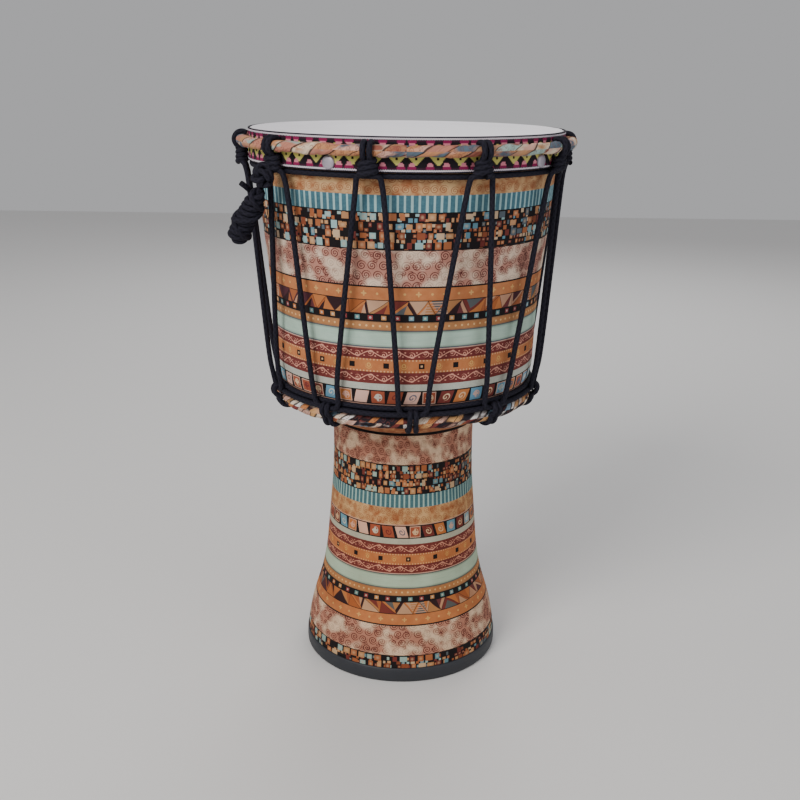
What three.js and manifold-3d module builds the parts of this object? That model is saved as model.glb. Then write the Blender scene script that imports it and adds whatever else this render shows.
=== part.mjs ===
// A fabric-covered djembe: a hollow moulded bowl on a flaring hollow stem, both skinned in printed
// cloth, with a synthetic head that a cloth-wrapped crown ring and rope lacing pull down.
// Millimetres, +Z up, origin at the centre of the foot's flat underside. The front faces -Y, and
// angles round the drum are in degrees from the front, growing towards +X.
import * as THREE from "three";
import { mergeVertices } from "three/addons/utils/BufferGeometryUtils.js";
import Module from "manifold-3d";

const wasm = await Module();
wasm.setup();

// Driving dimensions
const SIDES = 24;
const GAP = 0.35;
const SKIN = 0.6;
const WALL = 5;
const ROPE = 4.2;
const HEAD_TOP = 456;
const FILM = 0.7;
const COLLAR_RADIUS = 125.4;
const COLLAR_BOTTOM = 432.2;
const BOWL_RIM = 452;
const LACES = 10;
const LACE_STEP = 360 / LACES;
const TOP_LACE_ANGLE = -11.75;
const TWIST = -2.5;
const CROWN = { radius: 131.6, height: 446, rod: 2.6, wrap: 4.1 };
const LOWER = { radius: 103.8, height: 240.6, rod: 3.2, wrap: 5.2 };
const FOOT = { radius: 85.6, height: 13, sole: 3, lip: 8 };
const WAIST_ROPES = [[107.3, 252.6], [104.9, 248.1], [109.4, 248.3]];
const UPPER_CORD = [123.9, 428];
const SPIGOT = { outer: 54.3, inner: 50.5, bottom: 196, shoulder: 216 };
const TACK = { radius: 4.8, dome: 1.5, pin: 0.8, tip: 116.8, height: 436.6 };
const TACK_ANGLES = [-25.7, 51.4, 123, 195, 265];
const RIBBON = { inner: COLLAR_RADIUS + GAP, thickness: 0.8, bottom: 430.6, top: 455.6 };
const TAIL = { angle: -50, radius: 138.5, top: 416.5, neck: 7.5, length: 46, width: 20, depth: 16 };

// Outer face of the cloth, as [radius, height], from the neck up and from the foot up.
const BOWL_OUTLINE = [
  [61.2, 216.7],
  [82, 226.8],
  [91, 235],
  [98.6, 243.5],
  [104.6, 252.5],
  [108.2, 262],
  [109.1, 280],
  [110.3, 317],
  [117.3, 386],
  [121.8, BOWL_RIM],
];
const STEM_OUTLINE = [
  [84.4, FOOT.height + 0.3],
  [82.8, 28],
  [78.4, 46.5],
  [72, 67],
  [67, 95],
  [62.9, 142],
  [60.6, 178],
  [60.6, 214.7],
];

const MATERIALS = {
  shell: surface(0x2c2a2b, 0.55, 0),
  cloth: surface(0xb08468, 0.85, 0),
  rubber: surface(0x2d3038, 0.6, 0),
  head: surface(0xe4dee4, 0.4, 0),
  steel: surface(0x9a9a9d, 0.35, 1),
  ribbon: surface(0x5a1c34, 0.8, 0),
  rope: surface(0x1c1b26, 0.8, 0),
  nickel: surface(0xa9a6b0, 0.25, 1),
};

const djembe = new THREE.Group();
const drum = new THREE.Group();
djembe.add(drum);

function surface(color, roughness, metalness) {
  return new THREE.MeshStandardMaterial({ color, roughness, metalness });
}

function add(name, geometry, material) {
  const mesh = new THREE.Mesh(geometry, MATERIALS[material]);
  mesh.name = name;
  drum.add(mesh);
  return mesh;
}

function turned(outline) {
  const area = outline.reduce((sum, [r, z], i) => {
    const [r2, z2] = outline[(i + 1) % outline.length];
    return sum + r * z2 - r2 * z;
  }, 0);
  const ordered = area > 0 ? [...outline] : [...outline].reverse();
  const points = ordered.map(([r, z]) => new THREE.Vector2(r, z));
  const onAxis = outline.some(([r]) => r === 0);
  if (!onAxis) points.push(points[0].clone());
  return new THREE.LatheGeometry(points, SIDES).rotateX(Math.PI / 2);
}

// An outline moved inwards by a distance, measured square to its own lines.
function inset(outline, distance) {
  const normals = outline.slice(1).map(([r, z], i) => {
    const along = new THREE.Vector2(r - outline[i][0], z - outline[i][1]).normalize();
    return new THREE.Vector2(-along.y, along.x);
  });
  return outline.map(([r, z], i) => {
    const before = normals[Math.max(i - 1, 0)];
    const after = normals[Math.min(i, normals.length - 1)];
    const mitre = before.clone().add(after).normalize();
    const reach = distance / mitre.dot(after);
    return [r + mitre.x * reach, z + mitre.y * reach];
  });
}

function arc(centre, radius, from, to, steps) {
  return Array.from({ length: steps + 1 }, (_, i) => {
    const angle = THREE.MathUtils.degToRad(from + ((to - from) * i) / steps);
    return [centre[0] + radius * Math.cos(angle), centre[1] + radius * Math.sin(angle)];
  });
}

function hoop(radius, height, thickness) {
  const section = arc([radius, height], thickness, 0, 360, 6);
  section.pop();
  return turned(section);
}

function solidOf(geometry) {
  const bare = geometry.clone();
  bare.deleteAttribute("normal");
  bare.deleteAttribute("uv");
  const merged = mergeVertices(bare, 1e-3);
  return new wasm.Manifold(
    new wasm.Mesh({
      numProp: 3,
      vertProperties: merged.attributes.position.array,
      triVerts: new Uint32Array(merged.index.array),
    }),
  );
}

function geometryOf(solid) {
  const { vertProperties, triVerts } = solid.getMesh();
  const geometry = new THREE.BufferGeometry();
  geometry.setAttribute("position", new THREE.BufferAttribute(vertProperties, 3));
  geometry.setIndex(new THREE.BufferAttribute(triVerts, 1));
  return geometry;
}

// Square to the drum's axis at an angle round it: the local +X points outwards.
function facing(geometry, angle) {
  return geometry.rotateZ(THREE.MathUtils.degToRad(angle - 90));
}

function tackHoles(geometry) {
  let solid = solidOf(geometry);
  for (const angle of TACK_ANGLES) {
    const bore = new THREE.CylinderGeometry(TACK.pin + GAP, TACK.pin + GAP, 30, 8);
    bore.rotateZ(Math.PI / 2).translate(COLLAR_RADIUS - 4, 0, TACK.height);
    solid = solid.subtract(solidOf(facing(bore, angle)));
  }
  return geometryOf(solid);
}

function makeShells() {
  const outside = inset(BOWL_OUTLINE, SKIN + GAP);
  const inside = inset(BOWL_OUTLINE, SKIN + GAP + WALL);
  const rimRadius = outside.at(-1)[0];
  const bowl = [
    [SPIGOT.inner, SPIGOT.bottom],
    [SPIGOT.outer, SPIGOT.bottom],
    [SPIGOT.outer, SPIGOT.shoulder],
    [60, SPIGOT.shoulder],
    ...outside,
    [rimRadius - 1, BOWL_RIM + 1.8],
    [rimRadius - 3, BOWL_RIM + 2.6],
    ...inside.slice(1).reverse(),
    [SPIGOT.inner, inside[0][1]],
  ];
  add("bowl_shell", tackHoles(turned(bowl)), "shell");

  const tube = [[STEM_OUTLINE[0][0], FOOT.sole + GAP], ...STEM_OUTLINE];
  const stem = [
    ...inset(tube, SKIN + GAP),
    [STEM_OUTLINE.at(-1)[0] - SKIN - GAP, SPIGOT.shoulder - GAP],
    [STEM_OUTLINE.at(-1)[0] - SKIN - GAP - WALL, SPIGOT.shoulder - GAP],
    ...inset(tube, SKIN + GAP + WALL).reverse(),
  ];
  add("stem_shell", turned(stem), "shell");
}

function makeSkins() {
  const bowl = [...BOWL_OUTLINE, ...inset(BOWL_OUTLINE, SKIN).reverse()];
  add("bowl_fabric", tackHoles(turned(bowl)), "cloth");
  const stem = [...STEM_OUTLINE, ...inset(STEM_OUTLINE, SKIN).reverse()];
  add("stem_fabric", turned(stem), "cloth");
}

function makeFoot() {
  const inner = FOOT.radius - 9.4;
  const section = [
    [inner, 0],
    [FOOT.radius, 0],
    [FOOT.radius, FOOT.height],
    [FOOT.radius - 1.7, FOOT.height],
    [FOOT.radius - 1.7, FOOT.sole],
    [inner + 1.9, FOOT.sole],
    [inner + 1.9, FOOT.lip],
    [inner, FOOT.lip],
  ];
  add("foot_ring", turned(section), "rubber");
}

// The head's film lies flat over the bearing edge and turns down into a collar.
function makeHead() {
  const under = HEAD_TOP - FILM;
  const collarInside = COLLAR_RADIUS - FILM;
  const section = [
    [0, under],
    [COLLAR_RADIUS - 2.6, under],
    [collarInside - 0.5, HEAD_TOP - 1.4],
    [collarInside, HEAD_TOP - 2.8],
    [collarInside, COLLAR_BOTTOM],
    [COLLAR_RADIUS, COLLAR_BOTTOM],
    [COLLAR_RADIUS, HEAD_TOP - 2.6],
    [COLLAR_RADIUS - 0.6, HEAD_TOP - 0.8],
    [COLLAR_RADIUS - 2.2, HEAD_TOP],
    [0, HEAD_TOP],
  ];
  add("drum_head", tackHoles(turned(section)), "head");

  const hoopOuter = collarInside - GAP;
  const fleshHoop = [
    [hoopOuter - 1.8, COLLAR_BOTTOM + 0.2],
    [hoopOuter, COLLAR_BOTTOM + 0.2],
    [hoopOuter, TACK.height - 1.3],
    [hoopOuter - 1.8, TACK.height - 1.3],
  ];
  add("flesh_hoop", turned(fleshHoop), "steel");

  const ribbon = [
    [RIBBON.inner, RIBBON.bottom],
    [RIBBON.inner + RIBBON.thickness, RIBBON.bottom],
    [RIBBON.inner + RIBBON.thickness, RIBBON.top],
    [RIBBON.inner, RIBBON.top],
  ];
  add("ribbon_trim", tackHoles(turned(ribbon)), "ribbon");
}

// A steel rod with a cloth tube wound on it; the cloth's edges meet at a slit on the inner side.
function makeRing(name, ring) {
  add(name + "_hoop", hoop(ring.radius, ring.height, ring.rod), "steel");
  const centre = [ring.radius, ring.height];
  const wrap = [
    ...arc(centre, ring.wrap, -172, 172, 8),
    ...arc(centre, ring.rod + GAP, 168, -168, 6),
  ];
  add(name + "_wrap", turned(wrap), "cloth");
}

function makeTack(angle, index) {
  const profile = [
    [0, 0],
    [TACK.radius, 0],
    [TACK.radius * 0.8, TACK.dome * 0.6],
    [0, TACK.dome],
  ];
  const half = 180 / SIDES;
  const lean = THREE.MathUtils.degToRad(((((angle % (2 * half)) + 2 * half) % (2 * half)) - half));
  const flat = (RIBBON.inner + RIBBON.thickness) * Math.cos(THREE.MathUtils.degToRad(half));
  const seat = flat / Math.cos(lean) + GAP + TACK.radius * Math.sin(Math.abs(lean));
  const points = profile.map(([r, z]) => new THREE.Vector2(r, z));
  const head = new THREE.LatheGeometry(points, 12);
  const length = seat + 0.5 - TACK.tip;
  const pin = new THREE.CylinderGeometry(TACK.pin, TACK.pin, length, 6);
  pin.translate(0, 0.5 - length / 2, 0);
  const tack = geometryOf(solidOf(head).add(solidOf(pin)));
  tack.rotateZ(-Math.PI / 2).translate(seat, 0, TACK.height);
  add(`head_stud_${index + 1}`, facing(tack, angle), "nickel");
}

function ropeSection(width, thickness, sides) {
  const turn = (2 * Math.PI) / sides;
  const corners = Array.from({ length: sides }, (_, i) => {
    const angle = (i + 0.5) * turn;
    return new THREE.Vector2((Math.cos(angle) * width) / 2, (Math.sin(angle) * thickness) / 2);
  });
  return new THREE.Shape(corners);
}

function swept(points, shape, steps) {
  const extrudePath = new THREE.CatmullRomCurve3(points, false, "centripetal");
  return new THREE.ExtrudeGeometry(shape, { steps, extrudePath });
}

function around(angle, radius, height) {
  const turn = THREE.MathUtils.degToRad(angle);
  return new THREE.Vector3(radius * Math.sin(turn), -radius * Math.cos(turn), height);
}

// A doubled cradle strand that hooks over a ring, drawn in the plane of the drum's axis.
function makeCradle(name, route, angle) {
  const points = route.map(([r, z]) => new THREE.Vector3(r, 0, z));
  add(name, facing(swept(points, ropeSection(9, ROPE, 6), 7), angle), "rope");
}

// One V of the tuning rope: down from an upper cradle, through a lower one and up to the next.
function makeLace(name, topAngle, bottomAngle) {
  const half = [
    [topAngle + 3.2, 128.9, 427],
    [topAngle + 5, 127, 415],
    [bottomAngle - 5.9, 114, 264],
    [bottomAngle - 5.5, 114, 256],
    [bottomAngle - 3.6, 114.1, 250.8],
  ];
  const mirrored = half.map(([angle, r, z]) => [2 * bottomAngle - angle, r, z]).reverse();
  const rise = topAngle + LACE_STEP - (2 * bottomAngle - topAngle);
  mirrored.at(-1)[0] += rise;
  mirrored.at(-2)[0] += rise;
  const points = [...half, [bottomAngle, 114.1, 248.6], ...mirrored];
  const path = points.map(([angle, r, z]) => around(angle, r, z));
  add(name, swept(path, ropeSection(ROPE, ROPE, 6), 14), "rope");
}

function makeRopes() {
  const clear = GAP + ROPE / 2 + 0.5;
  const top = [
    ...arc([CROWN.radius, CROWN.height], CROWN.wrap + clear, 102, -50, 4),
    [132.8, 435],
    [130.8, 431.8],
  ];
  const bottom = arc([LOWER.radius, LOWER.height], LOWER.wrap + clear, 24, -115, 4);
  for (let i = 0; i < LACES; i++) {
    const topAngle = TOP_LACE_ANGLE + i * LACE_STEP;
    const bottomAngle = topAngle + LACE_STEP / 2 + TWIST;
    const number = String(i + 1).padStart(2, "0");
    makeCradle("top_loop_" + number, top, topAngle);
    makeCradle("lower_loop_" + number, bottom, bottomAngle);
    makeLace("lacing_" + number, topAngle, bottomAngle);
  }
  WAIST_ROPES.forEach(([r, z], i) => {
    add("waist_rope_" + (i + 1), hoop(r, z, ROPE / 2), "rope");
  });
  add("upper_cord", hoop(...UPPER_CORD, ROPE / 2), "rope");
}

// The rope's surplus: a knot on the nearest cradle, and a bound hank that hangs from it by a neck.
function makeTail() {
  const knot = new THREE.SphereGeometry(1, 12, 8).scale(8, 7, 9);
  knot.rotateX(Math.PI / 2);
  const knotAt = around(TAIL.angle + 1.5, TAIL.radius + 0.7, TAIL.top + 8);
  const knotMesh = add("tail_knot", facing(knot, TAIL.angle), "rope");
  knotMesh.position.copy(knotAt);

  const end = TAIL.width / 2;
  const outline = new THREE.Shape();
  outline.absarc(0, -TAIL.neck - end, end, 0, Math.PI);
  outline.absarc(0, end - TAIL.neck - TAIL.length, end, Math.PI, 2 * Math.PI);
  const hank = new THREE.ExtrudeGeometry(outline, {
    depth: TAIL.depth,
    bevelEnabled: false,
    curveSegments: 8,
  });
  hank.translate(0, 0, -TAIL.depth / 2);
  const top = around(TAIL.angle, TAIL.radius, TAIL.top);
  const tip = around(TAIL.angle - 12, TAIL.radius + 9, TAIL.top - 44);
  const up = top.clone().sub(tip).normalize();
  const outward = around(TAIL.angle - 5, 1, 0);
  const side = up.clone().cross(outward).normalize();
  const depth = side.clone().cross(up);
  const neckLength = TAIL.neck - 2 - GAP;
  const neck = new THREE.CylinderGeometry(ROPE / 2, ROPE / 2, neckLength, 8);
  neck.translate(0, -2 - neckLength / 2, 0);
  const lean = new THREE.Matrix4().makeBasis(side, up, depth);
  add("tail_neck", neck.applyMatrix4(lean), "rope").position.copy(top);
  add("tail_hank", hank.applyMatrix4(lean), "rope").position.copy(top);
}

makeShells();
makeSkins();
makeFoot();
makeHead();
makeRing("crown", CROWN);
makeRing("lower", LOWER);
TACK_ANGLES.forEach(makeTack);
makeRopes();
makeTail();

export default djembe;
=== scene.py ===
"""The finished look of a fabric-covered djembe, built round its fixed CAD frame.

Metres, +Z up, the front faces -Y. Angles round the drum are in degrees from the front, growing
towards +X. Prints are drawn in millimetres on the cloth: u runs round, t runs along the repeat.
"""
import math
import random

import bmesh
import bpy
from mathutils import Matrix, Vector


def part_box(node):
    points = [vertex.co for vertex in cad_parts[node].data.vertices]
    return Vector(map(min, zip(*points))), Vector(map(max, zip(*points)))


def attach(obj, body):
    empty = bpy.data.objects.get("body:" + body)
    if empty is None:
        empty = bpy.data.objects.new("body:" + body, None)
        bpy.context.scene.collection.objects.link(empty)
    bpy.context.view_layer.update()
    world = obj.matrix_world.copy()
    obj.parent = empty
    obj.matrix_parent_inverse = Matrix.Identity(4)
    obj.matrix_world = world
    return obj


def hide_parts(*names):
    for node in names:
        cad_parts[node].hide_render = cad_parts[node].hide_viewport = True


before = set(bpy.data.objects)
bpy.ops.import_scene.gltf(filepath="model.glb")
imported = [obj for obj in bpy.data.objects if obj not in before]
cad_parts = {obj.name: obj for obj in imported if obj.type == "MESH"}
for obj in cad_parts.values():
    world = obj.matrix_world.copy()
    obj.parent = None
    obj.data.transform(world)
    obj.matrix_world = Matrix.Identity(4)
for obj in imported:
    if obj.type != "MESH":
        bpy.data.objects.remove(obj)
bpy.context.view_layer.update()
MM = 0.001

# Sizes repeated from the CAD part, in millimetres
ROPE = 4.2
ROPE_RADIUS = ROPE / 2
LACES = 10
LACE_STEP = 360 / LACES
TOP_LACE_ANGLE = -11.75
TWIST = -2.5
CROWN = {"radius": 131.6, "height": 446, "wrap": 4.1}
LOWER = {"radius": 103.8, "height": 240.6, "wrap": 5.2}
HEAD_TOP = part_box("drum_head")[1][2] / MM
COLLAR_RADIUS = 125.4
FOOT_RADIUS = 85.6
FOOT_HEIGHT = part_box("foot_ring")[1][2] / MM
WAIST_ROPES = [(107.3, 252.6), (104.9, 248.1), (109.4, 248.3)]
UPPER_CORD = (123.9, 428)
TACK_ANGLES = [-25.7, 51.4, 123, 195, 265]
TACK_HEIGHT = 436.6
TAIL = {"angle": -50, "radius": 138.5, "top": 416.5}
BOWL_OUTLINE = [
    (121.8, 452), (117.3, 386), (113.4, 350), (110.4, 317), (109.1, 280), (108.4, 265),
    (106.4, 256), (101.6, 247), (95.6, 239.4), (88, 231.8), (76.5, 224.2), (61.2, 216.7),
]
RIBBON_RADIUS = 126.5
STEM_OUTLINE = [
    (84.4, 13.2), (84.1, 20), (82.8, 28), (80.9, 37), (78.3, 47), (75.2, 57), (72.2, 67),
    (69.3, 80), (67, 95), (64.9, 118), (62.9, 142), (61.4, 160), (60.6, 180), (60.6, 214.9),
]

# Sizes of the finer work, in millimetres
BRAID_PITCH = 5.2
BRAID_STRANDS = 4
ROPE_STEP = 1.3
THREAD = 0.75
CLOTH_STEP = 3
BOWL_SWIRLS_BELOW = 415.8
STEM_ANCHOR_HEIGHT = 187.2


# ---------------------------------------------------------------- camera and light

def aim(thing, place, target):
    """Stands a light at a place and turns its face to the target."""
    thing.location = place
    direction = Vector(target) - Vector(place)
    thing.rotation_euler = direction.to_track_quat("-Z", "Y").to_euler()


def make_camera():
    """Stands in front of the drum and looks down on it by 17.3 degrees."""
    data = bpy.data.cameras.new("camera")
    data.sensor_width = 36
    data.lens = 47.25
    data.shift_x = -0.0044
    camera = bpy.data.objects.new("camera", data)
    bpy.context.collection.objects.link(camera)
    camera.location = (0, -0.8705, 0.4973)
    look_down, lean = 17.3, 0.7
    pitch, roll = math.radians(90 - look_down), math.radians(lean)
    camera.rotation_euler = (Matrix.Rotation(pitch, 3, "X") @ Matrix.Rotation(roll, 3, "Z")).to_euler()
    bpy.context.scene.camera = camera


def make_light(name, place, size, power, colour=(1, 1, 1)):
    data = bpy.data.lights.new(name, "AREA")
    data.size = size
    data.energy = power
    data.color = colour
    light = bpy.data.objects.new(name, data)
    bpy.context.collection.objects.link(light)
    aim(light, place, (0, 0, 0.25))


def make_studio():
    """Three soft lights, a grey surround and a plain floor."""
    make_light("key_light", (-1.0, -1.4, 1.5), 0.9, 34, (1, 0.97, 0.93))
    make_light("fill_light", (1.5, -1.2, 0.8), 1.4, 7, (0.95, 0.97, 1))
    make_light("back_light", (0.3, 1.6, 1.4), 1.2, 12)
    world = bpy.data.worlds.new("studio")
    bpy.context.scene.world = world
    world.use_nodes = True
    background = world.node_tree.nodes["Background"]
    background.inputs["Color"].default_value = (0.86, 0.86, 0.88, 1)
    background.inputs["Strength"].default_value = 0.5
    far = 3
    corners = [(-far, -far, 0), (far, -far, 0), (far, far, 0), (-far, far, 0)]
    floor = mesh_object("floor", corners, [(0, 1, 2, 3)])
    floor.data.materials.append(floor_material())


# ---------------------------------------------------------------- shader fields

class Field:
    """A number that varies over a surface. Arithmetic on it adds Math nodes to its tree."""

    def __init__(self, tree, socket):
        self.tree = tree
        self.socket = socket

    def math(self, operation, *others):
        node = self.tree.nodes.new("ShaderNodeMath")
        node.operation = operation
        for slot, value in zip(node.inputs, (self, *others)):
            feed(self.tree, slot, value)
        return Field(self.tree, node.outputs[0])

    def __add__(self, other):
        return self.math("ADD", other)

    def __sub__(self, other):
        return self.math("SUBTRACT", other)

    def __rmul__(self, other):
        return self.math("MULTIPLY", other)

    def __mul__(self, other):
        return self.math("MULTIPLY", other)

    def __truediv__(self, other):
        return self.math("DIVIDE", other)

    def __lt__(self, other):
        return self.math("LESS_THAN", other)

    def __gt__(self, other):
        return self.math("GREATER_THAN", other)

    def __abs__(self):
        return self.math("ABSOLUTE")

    def within(self, low, high):
        return (self > low) * (self < high)

    def flip(self):
        return self * -1 + 1


def feed(tree, slot, value):
    """Links a field to a socket, or sets the socket to a plain value."""
    if isinstance(value, Field):
        tree.links.new(value.socket, slot)
    else:
        slot.default_value = value


def tint(red, green, blue):
    """A colour from levels of 0 to 255, as scene-linear light."""
    def linear(level):
        level /= 255
        return level / 12.92 if level <= 0.04045 else ((level + 0.055) / 1.055) ** 2.4
    return (linear(red), linear(green), linear(blue), 1)


def mix(mask, base, over, blend="MIX"):
    """The base where mask is 0, and over where it is 1. Two of the three may be plain values."""
    tree = next(value.tree for value in (mask, base, over) if isinstance(value, Field))
    node = tree.nodes.new("ShaderNodeMix")
    node.data_type = "RGBA"
    node.blend_type = blend
    feed(tree, node.inputs[0], mask)
    feed(tree, node.inputs[6], base)
    feed(tree, node.inputs[7], over)
    return Field(tree, node.outputs[2])


def vector(x, y, z=0.0):
    node = x.tree.nodes.new("ShaderNodeCombineXYZ")
    for slot, value in zip(node.inputs, (x, y, z)):
        feed(x.tree, slot, value)
    return Field(x.tree, node.outputs[0])


def noise(x, y, scale, detail=2.0, z=0.0):
    node = x.tree.nodes.new("ShaderNodeTexNoise")
    feed(x.tree, node.inputs["Vector"], vector(x, y, z))
    node.inputs["Scale"].default_value = scale
    node.inputs["Detail"].default_value = detail
    return Field(x.tree, node.outputs[0])


def chance(x, y, seed):
    """A random number from 0 to 1 for each whole x and y."""
    node = x.tree.nodes.new("ShaderNodeTexWhiteNoise")
    node.noise_dimensions = "3D"
    feed(x.tree, node.inputs["Vector"], vector(x, y, seed))
    return Field(x.tree, node.outputs["Value"])


def pick(number, colours):
    """One of the colours, by a number from 0 to 1."""
    node = number.tree.nodes.new("ShaderNodeValToRGB")
    ramp = node.color_ramp
    ramp.interpolation = "CONSTANT"
    while len(ramp.elements) < len(colours):
        ramp.elements.new(1.0)
    for i, colour in enumerate(colours):
        ramp.elements[i].position = i / len(colours)
        ramp.elements[i].color = colour
    feed(number.tree, node.inputs[0], number)
    return Field(number.tree, node.outputs[0])


def cell(x, size):
    """Which cell of a row x is in, and how far it is from that cell's middle."""
    index = (x / size).math("FLOOR")
    return index, x - (index + 0.5) * size


def radius_of(x, y):
    return (x * x + y * y).math("SQRT")


def spiral(x, y, pitch, reach, line, turn=1):
    """1 on a spiral line as wide as line, whose arms are a pitch apart, out to reach."""
    r = radius_of(x, y)
    around = y.math("ARCTAN2", x) * (turn / math.tau)
    arm = (r / pitch - around).math("FRACT")
    return (arm < line / pitch) * (r < reach)


def wave(x, period, height=1.0):
    """A sine along x."""
    return (x * (math.tau / period)).math("SINE") * height


# ---------------------------------------------------------------- the print

BLACK = tint(25, 19, 23)
MAROON = tint(124, 58, 54)
ORANGE = tint(204, 130, 76)
CREAM = tint(238, 214, 178)
PINK = tint(236, 196, 182)
TAN = tint(206, 156, 104)
SLATE = tint(92, 108, 122)


def print_swirls(u, t, height):
    """Small brown curls on blotched beige."""
    blotch = noise(u, t, 0.16, 3, 3.0)
    ground = mix((blotch - 0.36) * 3.2, tint(224, 190, 142), tint(174, 112, 74))
    row, y = cell(t, height / 2)
    column, x = cell(u + row * 3.1, 6.3)
    lean = chance(column, row, 5.0) - 0.5
    lines = spiral(x + lean * 2, y + lean * 2, 1.5, 3.1, 0.55)
    return mix(lines * 0.65, ground, tint(142, 74, 48))


def print_stripes(u, t, height):
    """Pale bars on blue."""
    number, x = cell(u, 4.9)
    bars = (x + 0.5 * chance(number, number, 2.0)).within(-1.9, 1.35)
    washed = noise(u, t, 0.5, 2, 8.0)
    bar = mix(washed, tint(52, 98, 120), tint(94, 146, 164))
    return mix(bars, tint(172, 216, 224), bar)


def mosaic_layer(under, u, t, size, share, seed):
    """Squares of mixed size and colour, in a share of the cells, over what is under them."""
    row, y = cell(t, size * 1.05)
    column, x = cell(u + chance(row, row, seed) * size, size)
    luck = chance(column, row, seed + 1)
    wide = chance(column, row, seed + 2) * (size * 0.2) + size * 0.24
    tall = chance(column, row, seed + 3) * (size * 0.18) + size * 0.27
    square = (abs(x) < wide) * (abs(y) < tall) * (luck < share)
    colours = [
        tint(180, 112, 74), tint(196, 150, 108), tint(150, 84, 58), tint(104, 156, 180), MAROON,
        tint(186, 122, 84), tint(214, 190, 160), tint(160, 202, 208), tint(138, 76, 52),
        tint(206, 160, 118), tint(176, 108, 70), SLATE,
    ]
    fill = pick(chance(column, row, seed + 4), colours)
    core = radius_of(x / wide, y / tall)
    glow = (core * -1.3 + 1).math("MAXIMUM", 0.0) * (chance(column, row, seed + 5) < 0.5)
    return mix(square, under, mix(glow * 0.5, fill, CREAM))


def print_mosaic(u, t, height):
    """Large squares over small ones, on black."""
    small = mosaic_layer(BLACK, u, t, 3.6, 0.62, 11.0)
    return mosaic_layer(small, u, t, 6.6, 0.78, 21.0)


def print_spirals(u, t, height):
    """Maroon curls on dusty rose, round pale glowing patches."""
    patch = ((noise(u, t, 0.052, 2, 1.0) - 0.4) * 7).math("MAXIMUM", 0.0).math("MINIMUM", 1.0)
    ground = mix(patch, tint(246, 228, 208), tint(196, 145, 130))
    speck = noise(u, t, 0.8, 2, 6.0) > 0.6
    ground = mix(speck * 0.2, ground, tint(176, 104, 100))
    row, y = cell(t, height / 3.5)
    column, x = cell(u + row * 3.7, 7.9)
    sway = chance(column, row, 41.0) - 0.5
    big = spiral(x + sway * 1.6, y + sway, 1.75, 3.7, 0.66)
    row2, y2 = cell(t + 3.2, height / 6)
    column2, x2 = cell(u + row2 * 2.7 + 3, 5.1)
    small = spiral(x2, y2, 1.3, 2.0, 0.5, -1) * (chance(column2, row2, 43.0) < 0.5)
    lines = big.math("MAXIMUM", small)
    return mix(lines * (patch * 0.72 + 0.27), ground, tint(96, 40, 42))


def rosette(x, y, size):
    """1 inside a flower of four petals."""
    angle = y.math("ARCTAN2", x)
    petals = (angle * 4).math("COSINE") * (size * 0.32) + size * 0.8
    return radius_of(x, y) < petals


def print_stars(u, t, height):
    """Pale flowers and dots on orange."""
    washed = noise(u, t, 0.16, 3, 2.0)
    ground = mix(washed, tint(188, 112, 68), tint(220, 154, 104))
    _, y = cell(t, height)
    _, x = cell(u, 20)
    star = rosette(x, y, 1.9)
    dots = radius_of(abs(x) - 10, y) < 0.95
    return mix(star.math("MAXIMUM", dots) * 0.8, ground, tint(236, 198, 128))


def print_triangles(u, t, height):
    """A patchwork of slanting triangles, some with a smaller one or a few bars inside."""
    width = 15.0
    row, y = cell(t, height)
    level = y / height + 0.5
    column, x = cell(u + y * 0.35 + (noise(u, t * 0.1, 0.04, 1, 4.0) - 0.5) * 16, width)
    luck = chance(column, row, 59.0)
    tip = (luck - 0.5) * (width * 0.5)
    left = (x + width / 2) / (tip + width / 2)
    right = (x * -1 + width / 2) / (tip * -1 + width / 2)
    rise = left.math("MINIMUM", right)
    above = level - rise
    side = (x > tip) * 2 - 1
    number = column * 3 + (above > 0) * side
    colours = [
        tint(190, 138, 92), tint(112, 60, 66), tint(206, 170, 142), ORANGE, tint(96, 104, 110),
        tint(176, 106, 68), tint(52, 30, 36), tint(204, 160, 132), MAROON, tint(180, 106, 60),
        tint(86, 46, 58),
    ]
    fill = pick(chance(number, 0.0, 51.0), colours)
    inner = pick(chance(number, 0.0, 57.0), colours)
    deep = abs(above) > 0.3
    fill = mix(deep * (chance(number, 0.0, 55.0) < 0.55), fill, inner)
    bars = (y.math("PINGPONG", 1.0) < 0.42) * (luck > 0.7) * (abs(above) > 0.12)
    fill = mix(bars, fill, tint(206, 170, 150))
    return mix((abs(above) < 0.04) * 0.8, fill, tint(70, 38, 40))


def print_squares_on_black(u, t, height):
    """A row of small squares, each with a pale dot."""
    _, y = cell(t, height)
    column, x = cell(u, 10.2)
    square = (abs(x) < 1.9) * (abs(y) < 1.7)
    colours = [tint(128, 172, 190), TAN, tint(148, 64, 70), tint(110, 160, 168), ORANGE]
    fill = pick(chance(column, column, 61.0), colours)
    fill = mix((radius_of(x, y) < 0.9) * 0.7, fill, tint(226, 222, 214))
    return mix(square, BLACK, fill)


def print_tan_dots(u, t, height):
    """A row of pale dots on tan, between darker edges."""
    washed = noise(u, t, 0.25, 2, 4.0)
    ground = mix(washed, tint(182, 122, 76), tint(208, 156, 106))
    _, y = cell(t, height)
    _, x = cell(u, 5.2)
    edge = abs(y) > height * 0.36
    ground = mix(edge * 0.6, ground, tint(150, 120, 92))
    return mix(radius_of(x, y) < 0.85, ground, tint(240, 206, 152))


def print_mint(u, t, height):
    """Streaked mint that darkens towards its edges."""
    streaks = noise(u * 0.04, t, 1.4, 3, 5.0)
    ground = mix(streaks, tint(166, 212, 198), tint(212, 238, 228))
    edge = abs(t - height / 2) / (height / 2)
    return mix((edge - 0.72).math("MAXIMUM", 0.0) * 2.2, ground, tint(104, 122, 108))


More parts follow.
